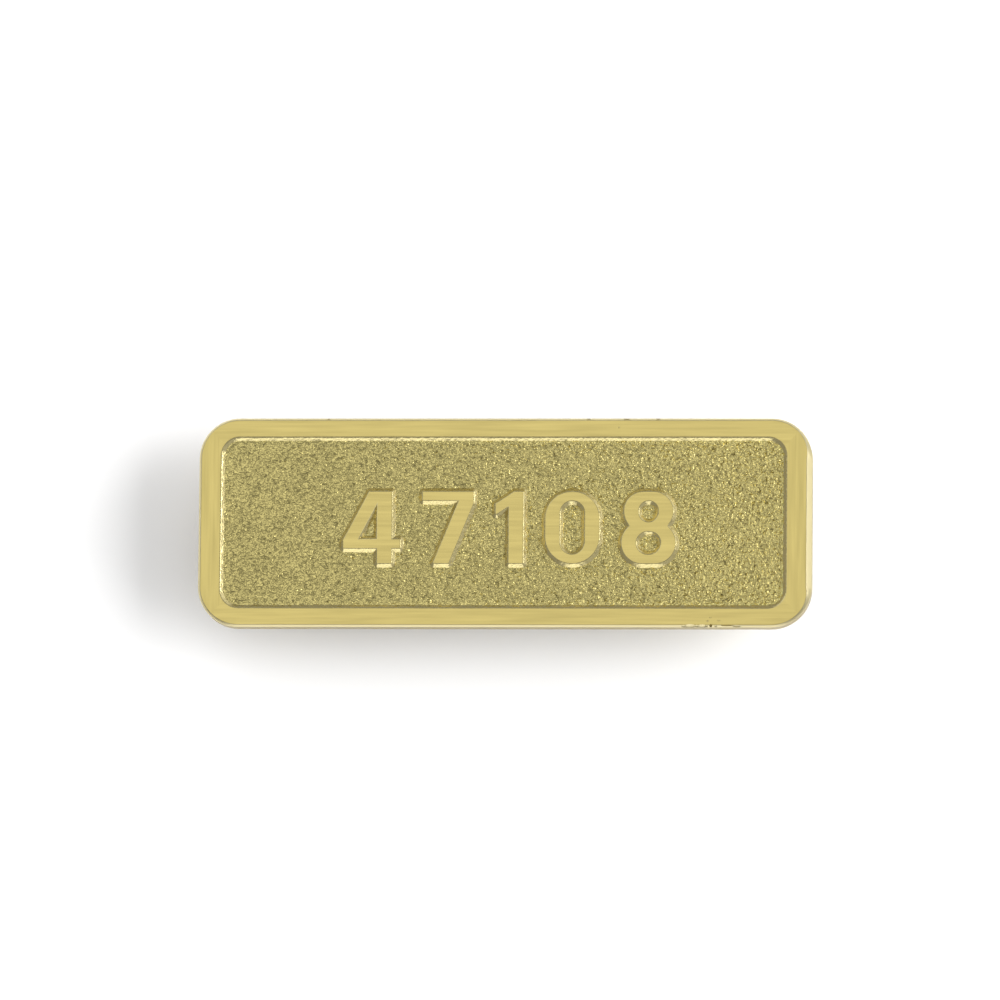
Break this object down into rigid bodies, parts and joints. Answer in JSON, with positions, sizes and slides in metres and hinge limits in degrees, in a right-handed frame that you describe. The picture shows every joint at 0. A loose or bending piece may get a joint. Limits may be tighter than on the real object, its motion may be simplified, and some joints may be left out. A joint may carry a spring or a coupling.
{
  "type": "usher badge",
  "caption": "Small bar badge of cast brass with a smooth rim, a sunk grained field and raised block numerals, worn by a bar clasp on its back.",
  "frame": {"origin": "middle of the underside of the clasp's feet, below the middle of the plate, where the badge stands when it lies face up", "axes": "+X along the badge in reading direction, +Y up its face as it is read, +Z out of its face"},
  "size_m": [0.0604, 0.0208, 0.0088],
  "materials": {
    "plate_metal": "satin on the rim and the numerals' tops, sandblasted grain on the sunk field, plain on the back",
    "clasp_metal": "nickel-plated, satin"
  },
  "bodies": {
    "root": {"badge_plate": "plate_metal", "pin_clasp": "clasp_metal"}
  },
  "joints": []
}
